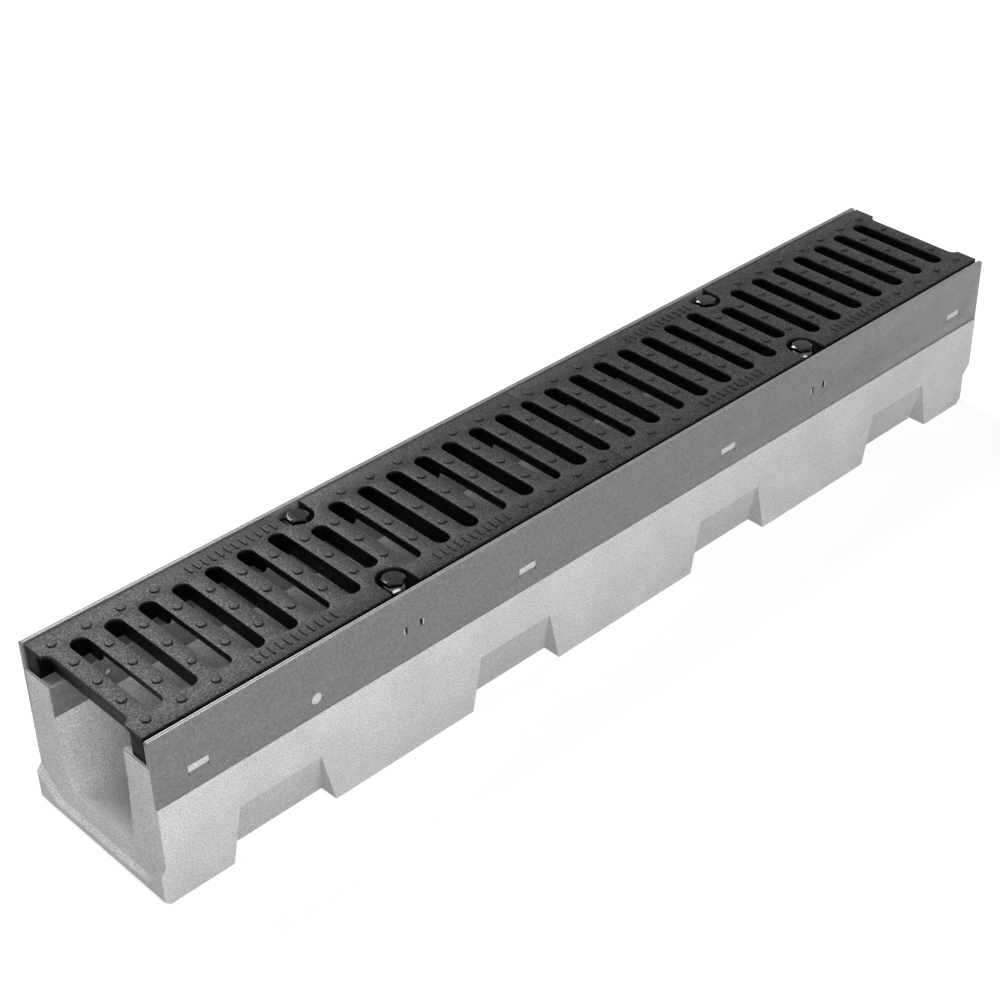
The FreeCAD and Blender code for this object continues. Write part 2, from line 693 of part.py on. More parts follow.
def nut_cage(label):
    """U of sheet under the ledge whose two side walls end in tabs in the outer plate."""
    cage = new_body(label)
    inner_edge = "(flange_back + bend_radius - sheet)"
    outline = sketch_on(cage, f"{label}_section", "XZ", inner_edge)
    inside = "(cage_half - cage_sheet)"
    closed_path(outline, [
        ("-cage_half", "seat - cage_depth"),
        ("cage_half", "seat - cage_depth"),
        ("cage_half", "seat"),
        (inside, "seat"),
        (inside, "seat - cage_depth + cage_sheet"),
        (f"-{inside}", "seat - cage_depth + cage_sheet"),
        (f"-{inside}", "seat"),
        ("-cage_half", "seat"),
    ])
    pad(cage, f"{label}_fold", outline, f"plate_back - {inner_edge}")
    tabs = sketch_on(cage, f"{label}_tab_outline", "XZ", "plate_back")
    for left, right in (("-cage_half", f"-{inside}"), (inside, "cage_half")):
        rectangle(tabs, left, right, "tab_top - tab_height", "tab_top")
    pad(cage, f"{label}_tabs", tabs, "sheet")
    return cage


first_cage = nut_cage("nut_cage_front_left")
cages = {
    "front_left": first_cage,
    "front_right": twin("nut_cage_front_right", first_cage),
    "back_left": twin("nut_cage_back_left", first_cage, turn=180),
    "back_right": twin("nut_cage_back_right", first_cage, turn=180),
}
for side, sign in (("front", "-"), ("back", "")):
    for name, end in (("left", "-"), ("right", "")):
        corner = f"{side}_{name}"
        place = (f"{end}grating_place", f"{sign}bolt_offset")
        pieces.append(bolt(f"bolt_{corner}", *place))
        pieces.append(washer(f"washer_{corner}", *place))
        pieces.append(nut(f"nut_{corner}", *place))
        bind(cages[corner], Placement__Base__x=place[0])
        pieces.append(cages[corner])
doc.recompute()

# Check every object, then write one file for each piece
failed = [item.Label for item in doc.Objects if {"Invalid", "Error"} & set(item.State)]
if failed:
    raise RuntimeError(f"failed: {failed}")
os.makedirs("parts", exist_ok=True)
for piece in pieces:
    shape = piece.Shape
    if shape.isNull() or not shape.isValid() or len(shape.Solids) != 1:
        raise RuntimeError(f"{piece.Label} is not one valid solid")
    shape.exportStep(f"parts/{piece.Label}.step")
    box = shape.BoundBox
    print(f"{piece.Label}: {shape.Volume:.0f} mm3, {box.XMin:.1f} {box.XMax:.1f} "
          f"{box.YMin:.1f} {box.YMax:.1f} {box.ZMin:.1f} {box.ZMax:.1f}")
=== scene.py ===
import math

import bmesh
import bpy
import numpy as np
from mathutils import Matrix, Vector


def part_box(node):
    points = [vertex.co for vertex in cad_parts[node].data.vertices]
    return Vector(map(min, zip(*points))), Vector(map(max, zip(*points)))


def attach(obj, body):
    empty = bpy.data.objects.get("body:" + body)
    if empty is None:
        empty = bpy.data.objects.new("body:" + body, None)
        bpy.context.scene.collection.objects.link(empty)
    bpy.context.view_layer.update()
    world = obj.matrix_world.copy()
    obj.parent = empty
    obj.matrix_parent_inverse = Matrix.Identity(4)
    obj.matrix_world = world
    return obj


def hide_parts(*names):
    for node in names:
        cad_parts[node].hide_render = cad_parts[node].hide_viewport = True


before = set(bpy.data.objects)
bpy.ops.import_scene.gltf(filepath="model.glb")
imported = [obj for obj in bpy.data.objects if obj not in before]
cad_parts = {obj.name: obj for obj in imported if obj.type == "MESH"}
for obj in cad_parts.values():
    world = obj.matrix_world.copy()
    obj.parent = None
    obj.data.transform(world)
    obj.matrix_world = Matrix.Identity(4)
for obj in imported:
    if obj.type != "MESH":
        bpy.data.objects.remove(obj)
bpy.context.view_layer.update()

# %% [markdown]
# # One metre of channel drain
# The object is a U-shaped concrete channel. Two folded steel rails guard its edges, and two
# black cast iron gratings lie between them, held down by four hexagon bolts.
# The CAD frame gives every solid at its true place, in metres. This notebook dresses it:
# it rounds the edges that were too fine for the solids, adds studs, raised bars and bolts
# as worked-out surfaces, and gives each piece the material that the real one is made of.

MM = 0.001

# %% [markdown]
# ## Camera
# The viewpoint was solved beforehand from edges whose real places are known. The long run
# fades towards the upper right, so the lens matters as much as the direction. The picture's
# centre isn't where the lens points, which is why the camera is shifted a little: turning it
# instead would make the upright edges lean.

# %% Camera at the photograph's place
HEADING, ELEVATION, ROLL = -45.029, 35.467, 0.039      # degrees
EYE = (-1.06353, -1.06043, 1.1414)                     # m
SENSOR = 36.0                                          # mm
FOCAL = 2.064803 * SENSOR                              # mm
SHIFT_X, SHIFT_Y = -0.063146, 0.00827                  # of the picture's width
REACH = 20.0                                           # m, as far as the camera sees


def photo_camera():
    """Camera from its heading, its height above the horizon, its roll and its place.
    Its back points away from the object: sideways by the sine and cosine of the heading,
    both times the cosine of the elevation, and up by the sine of the elevation."""
    azimuth, elevation, roll = (math.radians(angle) for angle in (HEADING, ELEVATION, ROLL))
    back = Vector((math.sin(azimuth) * math.cos(elevation),
                   -math.cos(azimuth) * math.cos(elevation), math.sin(elevation)))
    right = (-back).cross(Vector((0, 0, 1))).normalized()
    turn = Matrix((right, back.cross(right), back)).transposed() @ Matrix.Rotation(roll, 3, "Z")
    data = bpy.data.cameras.new("photo_camera")
    data.sensor_width = SENSOR
    data.lens = FOCAL
    data.shift_x, data.shift_y = SHIFT_X, SHIFT_Y
    data.clip_end = REACH
    made = bpy.data.objects.new("photo_camera", data)
    made.matrix_world = Matrix.Translation(EYE) @ turn.to_4x4()
    bpy.context.scene.collection.objects.link(made)
    return made


bpy.context.scene.camera = photo_camera()
print("focal length, mm:", round(bpy.context.scene.camera.data.lens, 2))

# %% [markdown]
# ## Tools for materials
# A material is a small net of nodes. One function adds a node, sets it and wires it, so each
# material below reads as a list of what is mixed with what. Inputs that share a name go by
# their number. In a Mix node, 0 is the share and 6 and 7 are the two colours. In a Map Range
# node, 0 is the value, 1 and 2 are the ends of its range, and 3 and 4 are what the ends
# become, which is nought and one where nothing is said.
# Colours are written as they look on a screen and turned to the linear values that light
# adds up in.

# %% Colour and node tools


def linear(code):
    """Linear colour from an sRGB hex code, by the sRGB curve."""
    parts = [int(code[at:at + 2], 16) / 255 for at in (1, 3, 5)]
    return tuple(c / 12.92 if c <= 0.04045 else ((c + 0.055) / 1.055) ** 2.4
                 for c in parts) + (1.0,)


def add(tree, kind, inputs=None, **settings):
    """One node: its settings, and for each input a value or the socket that feeds it."""
    made = tree.nodes.new("ShaderNode" + kind)
    for name, setting in settings.items():
        setattr(made, name, setting)
    for name, given in (inputs or {}).items():
        if isinstance(given, bpy.types.NodeSocket):
            tree.links.new(given, made.inputs[name])
        else:
            made.inputs[name].default_value = given
    return made.outputs


def new_material(name, **shader_values):
    """Material with a Principled shader, and the place on the object in millimetres."""
    material = bpy.data.materials.new(name)
    material.use_nodes = True
    tree = material.node_tree
    tree.nodes.clear()
    surface = add(tree, "BsdfPrincipled",
                  {key.replace("_", " "): number for key, number in shader_values.items()})
    add(tree, "OutputMaterial", {"Surface": surface[0]})
    metres = add(tree, "TexCoord")["Object"]
    where = add(tree, "VectorMath", {0: metres, "Scale": 1 / MM}, operation="SCALE")[0]
    return material, tree, tree.nodes["Principled BSDF"], where


print("mid grey in linear light:", round(linear("#808080")[0], 3))

# %% [markdown]
# ## Concrete
# Polymer or fibre concrete poured into a steel mould: pale grey, dull, with fine sand in it.
# The eye gets three things from it: slow clouds where the mix dried unevenly, a mottle of a
# few millimetres, and sand grains, some darker and some nearly white. Each is a noise whose
# scale is one over its real size, but for the sand.

# %% Cast concrete
CLOUD, MOTTLE = 45.0, 7.0      # mm across
SAND = 1.07                    # mm: twice the real grain, which would be too fine to show


def concrete_material():
    """Grey by the clouds, then by the mottle, then dark and bright grains, all of them dull."""
    material, tree, shader, where = new_material("concrete_cast_grey", Roughness=0.92)
    cloud = add(tree, "TexNoise", {"Vector": where, "Scale": 1 / CLOUD, "Detail": 3.0})[0]
    mottle = add(tree, "TexNoise", {"Vector": where, "Scale": 1 / MOTTLE, "Detail": 3.0})[0]
    sand = add(tree, "TexNoise", {"Vector": where, "Scale": 1 / SAND, "Detail": 1.0})[0]
    drying = add(tree, "MapRange", {0: cloud, 1: 0.35, 2: 0.65})[0]
    colour = add(tree, "Mix", {0: drying, 6: linear("#C5C5C5"), 7: linear("#D0D0D0")},
                 data_type="RGBA")[2]
    patch = add(tree, "MapRange", {0: mottle, 1: 0.4, 2: 0.75, 4: 0.35})[0]
    colour = add(tree, "Mix", {0: patch, 6: colour, 7: linear("#B8B8B8")}, data_type="RGBA")[2]
    dark = add(tree, "MapRange", {0: sand, 1: 0.5, 2: 0.68, 4: 0.6})[0]
    colour = add(tree, "Mix", {0: dark, 6: colour, 7: linear("#868686")}, data_type="RGBA")[2]
    bright = add(tree, "MapRange", {0: sand, 1: 0.47, 2: 0.32, 4: 0.6})[0]
    colour = add(tree, "Mix", {0: bright, 6: colour, 7: linear("#EBEBEB")}, data_type="RGBA")[2]
    tree.links.new(colour, shader.inputs["Base Color"])
    grains = add(tree, "Bump", {"Height": sand, "Distance": 0.25 * MM, "Strength": 0.5})[0]
    worn = add(tree, "Bump", {"Height": mottle, "Distance": 0.5 * MM, "Strength": 0.3,
                              "Normal": grains})[0]
    tree.links.new(worn, shader.inputs["Normal"])
    return material


concrete = concrete_material()
print("sand grains per 10 mm:", round(10 / SAND, 1))

# %% [markdown]
# ## Cast iron
# Sand-cast grey iron with a thin black dip coating that is half glossy. The mould's sand
# leaves a tight grain, and every grain takes a glint of its own. The base is nearly black,
# and much of what the eye reads as grey is that sheen. The speckle is in the colour too,
# because a bump alone would be smoothed away at this distance. Its pale crests are grain and
# partly a painted sheen, and they stay on the top alone: below the top the colour is painted
# shade, near black, and the gloss is turned down there too. So the colour and the gloss
# follow the height.

# %% Cast iron, black coated
GRAIN = 1.4                     # mm: about three times the real grain, too fine to show
SAG = 26.0                      # mm across: pools where the coating ran together
PAINTED_SHADE_FROM, PAINTED_SHADE_FULL = 159.2, 157.4     # mm high: where the painted shade below the top begins, and where it is full


def iron_material():
    """Black by the pools, then pale grain crests kept on the top alone as a painted sheen,
    painted shade below the top, and dark grain pits.
    """
    material, tree, shader, where = new_material("cast_iron_black_coated")
    pool = add(tree, "TexNoise", {"Vector": where, "Scale": 1 / SAG, "Detail": 2.0})[0]
    grain = add(tree, "TexNoise", {"Vector": where, "Scale": 1 / GRAIN, "Detail": 1.0})[0]
    coat = add(tree, "MapRange", {0: pool, 1: 0.35, 2: 0.65})[0]
    colour = add(tree, "Mix", {0: coat, 6: linear("#1B1B1B"), 7: linear("#202020")},
                 data_type="RGBA")[2]
    # Pale grain crests: real grain, and on the top, where alone they stay, partly a painted
    # sheen.
    crest = add(tree, "MapRange", {0: grain, 1: 0.49, 2: 0.7})[0]
    colour = add(tree, "Mix", {0: crest, 6: colour, 7: linear("#3C3C3C")}, data_type="RGBA")[2]
    height = add(tree, "SeparateXYZ", {0: where})["Z"]
    # Painted shade: below the top the colour is taken to near black, and the gloss drops there
    # too.
    painted_shade = add(tree, "MapRange", {0: height, 1: PAINTED_SHADE_FROM, 2: PAINTED_SHADE_FULL})[0]
    colour = add(tree, "Mix", {0: painted_shade, 6: colour, 7: linear("#0B0B0B")}, data_type="RGBA")[2]
    pit = add(tree, "MapRange", {0: grain, 1: 0.49, 2: 0.34})[0]
    colour = add(tree, "Mix", {0: pit, 6: colour, 7: linear("#0A0A0A")}, data_type="RGBA")[2]
    tree.links.new(colour, shader.inputs["Base Color"])
    shine = add(tree, "MapRange", {0: painted_shade, 3: 0.12, 4: 0.03})[0]
    tree.links.new(shine, shader.inputs["Specular IOR Level"])
    dull = add(tree, "MapRange", {0: grain, 1: 0.3, 2: 0.7, 3: 0.55, 4: 0.38})[0]
    tree.links.new(dull, shader.inputs["Roughness"])
    bumps = add(tree, "Bump", {"Height": grain, "Distance": 0.3 * MM, "Strength": 0.35})[0]
    tree.links.new(bumps, shader.inputs["Normal"])
    return material


iron = iron_material()
print("iron grains per 10 mm:", round(10 / GRAIN, 1))

# %% [markdown]
# ## Rail steel
# Sheet steel, folded and then painted or left with a dark mill finish: an even mid grey with
# a faint speckle, slightly satin. On the cut ends the two sheets that stand side by side show
# as a thin dark seam. The seam is painted where the place says so, because it is a line of a
# few tenths of a millimetre that belongs to the cut face only.

# %% Dark sheet steel
SHADE, SPECKLE = 22.0, 1.8             # mm across
SEAM = 79.7                            # mm from the middle to where the two sheets meet
SEAM_BLURRED, SEAM_DARK = 0.45, 0.2    # mm to either side of the seam
CUT_END = 499.6                        # mm along the run, past which a face is a cut end


def rail_material():
    """Grey by the shades, light and dark speckles, and the seam on the cut ends. The seam's
    darkness is how near the place is to the seam, times one on a cut end and nought off it."""
    material, tree, shader, where = new_material("rail_dark_sheet_steel", Roughness=0.34)
    cloud = add(tree, "TexNoise", {"Vector": where, "Scale": 1 / SHADE, "Detail": 2.0})[0]
    speckle = add(tree, "TexNoise", {"Vector": where, "Scale": 1 / SPECKLE, "Detail": 2.0})[0]
    tone = add(tree, "MapRange", {0: cloud, 1: 0.35, 2: 0.65})[0]
    colour = add(tree, "Mix", {0: tone, 6: linear("#6C6C6C"), 7: linear("#717171")},
                 data_type="RGBA")[2]
    light = add(tree, "MapRange", {0: speckle, 1: 0.5, 2: 0.7, 4: 0.5})[0]
    colour = add(tree, "Mix", {0: light, 6: colour, 7: linear("#8A8A8A")}, data_type="RGBA")[2]
    dark = add(tree, "MapRange", {0: speckle, 1: 0.48, 2: 0.32, 4: 0.5})[0]
    colour = add(tree, "Mix", {0: dark, 6: colour, 7: linear("#585858")}, data_type="RGBA")[2]
    parts = add(tree, "SeparateXYZ", {0: where})
    along = add(tree, "Math", {0: parts["X"]}, operation="ABSOLUTE")[0]
    across = add(tree, "Math", {0: parts["Y"]}, operation="ABSOLUTE")[0]
    off = add(tree, "Math", {0: across, 1: SEAM}, operation="SUBTRACT")[0]
    off = add(tree, "Math", {0: off}, operation="ABSOLUTE")[0]
    line = add(tree, "MapRange", {0: off, 1: SEAM_BLURRED, 2: SEAM_DARK})[0]
    end = add(tree, "Math", {0: along, 1: CUT_END}, operation="GREATER_THAN")[0]
    seam = add(tree, "Math", {0: line, 1: end}, operation="MULTIPLY")[0]
    colour = add(tree, "Mix", {0: seam, 6: colour, 7: linear("#1A1A1A")}, data_type="RGBA")[2]
    tree.links.new(colour, shader.inputs["Base Color"])
    skin = add(tree, "Bump", {"Height": speckle, "Distance": 0.1 * MM, "Strength": 0.5})[0]
    tree.links.new(skin, shader.inputs["Normal"])
    return material


rail_steel = rail_material()
print("seam between the sheets at mm:", SEAM)

# %% [markdown]
# ## Bolt, washer and cage steel
# The bolts are hardened steel with a dark zinc-nickel coating: nearly black, and smooth
# enough to mirror the lamps, so their shape is read from small hard highlights. The washers
# are a little paler and as smooth. The nuts and their cages under the ledge are plain bright
# zinc-plated steel, with the blotches (spangle) that hot zinc leaves. A metal's own colour is
# its reflection, so it is set dark for the first two and light for the third, and all keep
# the default IOR.

# %% Bolt, washer and cage steel


def plated_material(name, shade, tint, blotch, smooth, rough):
    """Plated steel: two close tones, and two finishes, in blotches of a size in mm."""
    material, tree, shader, where = new_material(name, Metallic=1.0)
    spots = add(tree, "TexNoise", {"Vector": where, "Scale": 1 / blotch, "Detail": 2.0})[0]
    share = add(tree, "MapRange", {0: spots, 1: 0.35, 2: 0.65})[0]
    colour = add(tree, "Mix", {0: share, 6: linear(shade), 7: linear(tint)},
                 data_type="RGBA")[2]
    tree.links.new(colour, shader.inputs["Base Color"])
    polish = add(tree, "MapRange", {0: spots, 1: 0.3, 2: 0.7, 3: smooth, 4: rough})[0]
    tree.links.new(polish, shader.inputs["Roughness"])
    return material


bolt_steel = plated_material("bolt_steel_dark_zinc_nickel",
                             "#2D2D2C", "#343433", blotch=3.0, smooth=0.09, rough=0.14)
washer_steel = plated_material("washer_steel_polished_zinc",
                               "#4E4C4A", "#545250", blotch=3.0, smooth=0.1, rough=0.16)
cage_steel = plated_material("cage_steel_zinc_plated",
                             "#B4B4B1", "#C6C6C3", blotch=5.0, smooth=0.3, rough=0.45)
print("plated steels:", bolt_steel.name, washer_steel.name, cage_steel.name)

# %% [markdown]
# ## Pieces that start from the CAD solids
# A cast or folded piece has no truly sharp edge, and a rounded edge is what catches the
# light. The solids leave those roundings out to stay light. So a copy of each solid's mesh is
# merged, its coplanar triangles are joined to whole faces, and its sharp edges are bevelled.
# A bevel modifier could do that too, but joining the faces first keeps it clean.

# %% Mesh tools
MERGE = 2e-6      # m: points that are nearer to each other are one
FLAT = 0.6        # degrees: faces that turn by less are one flat face


def piece(name, mesh, material, slot, *nodes):
    """Object of a mesh that rides on the body, for the nodes named. The slot is not used."""
    made = bpy.data.objects.new(name, mesh)
    bpy.context.scene.collection.objects.link(made)
    mesh.materials.clear()
    mesh.materials.append(material)
    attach(made, "root")
    if nodes:
        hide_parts(*nodes)
    return made


def round_edges(work, edges, width, segments):
    """Bevel of the edges given, as wide as the width in millimetres."""
    bmesh.ops.bevel(work, geom=edges, offset=width * MM, offset_type="OFFSET",
                    segments=segments, profile=0.5, affect="EDGES", clamp_overlap=True,
                    loop_slide=True)


def finish_mesh(work, name, crease=30):
    """Mesh of the work, smooth but for edges over the crease angle in degrees."""
    bmesh.ops.triangulate(work, faces=[face for face in work.faces if len(face.verts) > 4])
    mesh = bpy.data.meshes.new(name)
    work.to_mesh(mesh)
    work.free()
    mesh.shade_smooth()
    mesh.set_sharp_from_angle(angle=math.radians(crease))
    return mesh


def merged_copy(node, top=None):
    """A node's mesh, merged, with its flat faces joined. What stands over the top, given in
    millimetres, is left out, and the holes that this leaves are closed."""
    work = bmesh.new()
    work.from_mesh(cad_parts[node].data)
    bmesh.ops.remove_doubles(work, verts=work.verts, dist=MERGE)
    if top:
        high = [vert for vert in work.verts if vert.co.z > top * MM]
        bmesh.ops.delete(work, geom=high, context="VERTS")
        rims = [edge for edge in work.edges if edge.is_boundary]
        bmesh.ops.holes_fill(work, edges=rims, sides=0)
        bmesh.ops.recalc_face_normals(work, faces=work.faces)
    bmesh.ops.dissolve_limit(work, angle_limit=math.radians(FLAT), verts=work.verts,
                             edges=work.edges, delimit={"NORMAL"})
    return work


def sharp_edges(work, angle=35):
    """Edges that turn by more than the angle in degrees."""
    return [edge for edge in work.edges
            if edge.is_manifold and edge.calc_face_angle(0) > math.radians(angle)]


def volume_share(node, mesh):
    """How much of the solid's volume the dressed mesh has kept, in per cent."""
    both = []
    for data in (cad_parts[node].data, mesh):
        work = bmesh.new()
        work.from_mesh(data)
        bmesh.ops.remove_doubles(work, verts=work.verts, dist=MERGE)
        both.append(work.calc_volume())
        work.free()
    return round(100 * both[1] / both[0], 2)


print("solids in the frame:", len(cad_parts))

# %% [markdown]
# ### The channel
# Concrete leaves its mould with edges rounded by about a millimetre, more where they have
# been knocked. The recesses along the foot, the tongue and the groove come from the solid.

# %% Channel
CONCRETE_ROUND = 1.2      # mm

work = merged_copy("channel_body")
round_edges(work, sharp_edges(work), CONCRETE_ROUND, segments=3)
channel = piece("channel", finish_mesh(work, "channel"), concrete, "concrete", "channel_body")
print("channel faces:", len(channel.data.polygons),
      "volume kept, %:", volume_share("channel_body", channel.data))

# %% [markdown]
# ### The edge rails
# Folded sheet keeps a crisp edge of a few tenths of a millimetre where it was cut. The faces
# of a bend turn by less than a cut edge does, so the angle tells the two apart.

# %% Edge rails
SHEET_ROUND = 0.25      # mm
CUT_EDGE = 50           # degrees that a cut edge turns by, or more

for node in ("edge_rail_front", "edge_rail_back"):
    work = merged_copy(node)
    round_edges(work, sharp_edges(work, CUT_EDGE), SHEET_ROUND, segments=2)
    skin = piece(node + "_skin", finish_mesh(work, node), rail_steel, "rail_steel", node)
    print(skin.name, "faces:", len(skin.data.polygons),
          "volume kept, %:", volume_share(node, skin.data))

# %% [markdown]
# ### The gratings
# The upper edges of the slots are ground a little, and they show as thin light lines. Only
# they are rounded, because the edges below lie in the dark. The solids' few-sided studs are
# left out of the copy, and round ones follow.

# %% Gratings
GRATINGS = ("grating_left", "grating_right")
IRON_ROUND = 0.7                                          # mm
RAIL_STEP = 0.4                                           # mm from the rails up to the gratings
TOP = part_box("edge_rail_front")[1][2] / MM + RAIL_STEP    # mm, walking surface
ON_STUD, ON_TOP = TOP + 0.1, TOP - 0.05                   # mm that such points stand over

for node in GRATINGS:
    work = merged_copy(node, ON_STUD)
    high = [edge for edge in sharp_edges(work)
            if min(vert.co.z for vert in edge.verts) > ON_TOP * MM]
    round_edges(work, high, IRON_ROUND, segments=3)
    casting = piece(node + "_casting", finish_mesh(work, node), iron, "cast_iron", node)
    print(casting.name, "faces:", len(casting.data.polygons),
          "volume kept, %:", volume_share(node, casting.data))

# %% [markdown]
# ## Surfaces worked out with numpy
# Studs, bars, bolts and washers are all closed shells over a grid. One way round the grid is
# the turn about the piece's axis, and the other runs along its profile. All points are
# computed at once as an array, and the grid's neighbours form the faces.

# %% Grid shells


def grid_shells(name, *grids, crease=40):
    """Mesh of closed shells, from arrays of copies, rows, columns and x, y, z in mm.
    The last column meets the first, and rows that shrink to a point close the ends."""
    work = bmesh.new()
    for points in grids:
        copies, rows, columns = points.shape[:3]
        spot = np.arange(copies * rows * columns).reshape(copies, rows, columns)
        low, high = spot[:, :-1], spot[:, 1:]
        quads = np.stack((low, np.roll(low, -1, 2), np.roll(high, -1, 2), high), axis=-1)
        rough = bpy.data.meshes.new("rough_grid")
        rough.from_pydata(points.reshape(-1, 3) * MM, [], quads.reshape(-1, 4).tolist())
        work.from_mesh(rough)
        bpy.data.meshes.remove(rough)
    bmesh.ops.remove_doubles(work, verts=work.verts, dist=MERGE)
    bmesh.ops.recalc_face_normals(work, faces=work.faces)
    return finish_mesh(work, name, crease)


def turned(profile, columns):
    """Rows of a profile of (radius, height) turned about the axis:
    x is the radius times the cosine of the turn, y the radius times its sine."""
    turn = np.linspace(0, 2 * np.pi, columns, endpoint=False)
    radius, height = np.array(profile, dtype=float).T
    rows = np.empty((len(profile), columns, 3))
    rows[..., 0] = radius[:, None] * np.cos(turn)
    rows[..., 1] = radius[:, None] * np.sin(turn)
    rows[..., 2] = height[:, None]
    return rows


def set_out(shell, centres):
    """Copies of one shell, one at each centre."""
    return shell[None] + np.array(centres, dtype=float)[:, None, None, :]


# %% [markdown]
# ### Studs
# Low round studs keep shoes and tyres from sliding. They stand in three lines on the bars
# between the slots, and in one line along each margin. Each is a flat dome with a rounded
# edge and few faces, because there are more than a hundred.

# %% Studs
CROSS_BARS, GAP = 16, 3.0                   # bars across a grating, and mm to the next one
LENGTH = (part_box("grating_left")[1][0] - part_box("grating_left")[0][0]) / MM
PITCH = (LENGTH + GAP) / CROSS_BARS         # mm, bar to bar
MIDDLES = [(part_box(node)[0][0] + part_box(node)[1][0]) / 2 / MM for node in GRATINGS]
STUD_LINES, MARGIN = (-30, 0, 30), 60.0     # mm from the middle
BACK_STUDS = (0, 1, 2, 3, 9, 10, 11, 12, 13, 14, 15)      # bars with a margin stud
FRONT_STUDS = (0, 1, 2, 12, 13, 14, 15)
STUD = ((0, -0.6), (4.15, -0.6), (4.05, 0.8),             # mm, radius and height
        (3.7, 1.12), (3.0, 1.2), (0, 1.2))

spots = []
for middle in MIDDLES:
    rows = middle + PITCH * (np.arange(CROSS_BARS) - (CROSS_BARS - 1) / 2)
    spots += [(x, y, TOP) for x in rows for y in STUD_LINES]
    spots += [(rows[k], MARGIN, TOP) for k in BACK_STUDS]
    spots += [(rows[k], -MARGIN, TOP) for k in FRONT_STUDS]
domes = set_out(turned(STUD, columns=12), spots)
studs = piece("anti_slip_studs", grid_shells("studs", domes), iron, "cast_iron")
print("studs:", len(spots), "faces each:", len(studs.data.polygons) // len(spots))

# %% [markdown]
# ### Raised bars in the margins
# Between the margin studs the casting has raised marks. Plain bars stand there, at a height
# and a pitch that grip as well: rounded blocks whose outline is a superellipse.

# %% Raised bars
BAR_LENGTH, BAR_WIDTH, BAR_HEIGHT, BAR_PITCH = 10.5, 2.8, 1.1, 7.6      # mm
BAR_FOOT = -0.5                                                         # mm, in the casting
BAR_ROUND = (0.4, 0.45)                                                 # mm inwards and down
BAR_GROUPS = ((-107, 12, 62), (-138, 11, -62), (44, 11, -62))           # start, count, y


def superellipse_block(length, width, height, power=5, columns=16):
    """Block over the outline |x/a|^n + |y/b|^n = 1. Every row is that outline, drawn in by
    the first number of its step, and the ends are drawn in until they are a point."""
    turn = np.linspace(0, 2 * np.pi, columns, endpoint=False)
    across = np.sign(np.cos(turn)) * np.abs(np.cos(turn)) ** (2 / power)
    along = np.sign(np.sin(turn)) * np.abs(np.sin(turn)) ** (2 / power)
    inwards, down = BAR_ROUND
    steps = np.array(((length, BAR_FOOT), (0, BAR_FOOT), (0, height - down),
                      (inwards, height), (length, height)))
    rows = np.empty((len(steps), columns, 3))
    rows[..., 0] = across * np.maximum(width / 2 - steps[:, :1], 0)
    rows[..., 1] = along * np.maximum(length / 2 - steps[:, :1], 0)
    rows[..., 2] = steps[:, 1:]
    return rows


bar_spots = [(middle + start + BAR_PITCH * k, y, TOP)
             for middle in MIDDLES for start, count, y in BAR_GROUPS for k in range(count)]
blocks = set_out(superellipse_block(BAR_LENGTH, BAR_WIDTH, BAR_HEIGHT), bar_spots)
bars = piece("anti_slip_bars", grid_shells("bars", blocks), iron, "cast_iron")
print("raised bars:", len(bar_spots), "faces each:", len(bars.data.polygons) // len(bar_spots))

# %% [markdown]
# ### Bolts
# A hexagon head is a hexagonal prism whose corners a cone has cut off, which leaves the
# curved chamfer that catches the light. The shank carries a thread, drawn as rings, which
# from outside look the same as a helix.

# %% Hexagon bolts
CORNERS = ("front_left", "front_right", "back_left", "back_right")
FLATS, HEAD, SHANK, THREAD_PITCH = 18.0, 3.9, 12.0, 1.75      # mm
FACE = 0.89                       # width of the flat disc on top, as a share of the flats
CONE = 30                         # degrees that the chamfer falls by
BRINK = (0.5, 0.05)               # mm inwards and down, where disc and chamfer meet
TIP = (1.3, 1.5)                  # mm inwards and up, chamfer of the shank's end
THREAD_DEPTH, RINGS = 0.55, 22    # of the pitch, and crests and roots together
HEAD_GAP = 0.1                    # mm from shank to head, so that each shell stays closed


def hexagon_head(flats, height, columns=72):
    """Rows of a chamfered head that stands on z = 0, flats square to the run. The radius of
    the hexagon is half its flats over the cosine of the angle from the nearest flat. The
    chamfer falls from the disc by the tangent of the cone's angle, so the height of a side's
    upper edge follows from that radius."""
    turn = np.linspace(0, 2 * np.pi, columns, endpoint=False)
    nearest = (turn + np.pi / 6) % (np.pi / 3) - np.pi / 6
    side = flats / 2 / np.cos(nearest)
    disc = np.full(columns, FACE * flats / 2)
    flat = np.full(columns, float(height))
    shoulder = height - (side - disc) * math.tan(math.radians(CONE))
    radius = np.stack((0 * side, side, side, disc, disc - BRINK[0], 0 * side))
    level = np.stack((0 * side, 0 * side, shoulder, flat - BRINK[1], flat, flat))
    return np.stack((radius * np.cos(turn), radius * np.sin(turn), level), axis=-1)


def thread_profile(diameter, length, pitch):
    """Profile of the shank, from its chamfered tip up to the head: a zigzag that climbs by
    half a pitch from a crest to the root after it."""
    inwards, upwards = TIP
    rings = np.arange(RINGS)
    zigzag = np.stack((diameter / 2 - THREAD_DEPTH * pitch * (rings % 2),
                       upwards - length + rings * pitch / 2), axis=-1)
    return [(0, -length), (diameter / 2 - inwards, -length), *zigzag.tolist(),
            (diameter / 2, -HEAD_GAP), (0, -HEAD_GAP)]


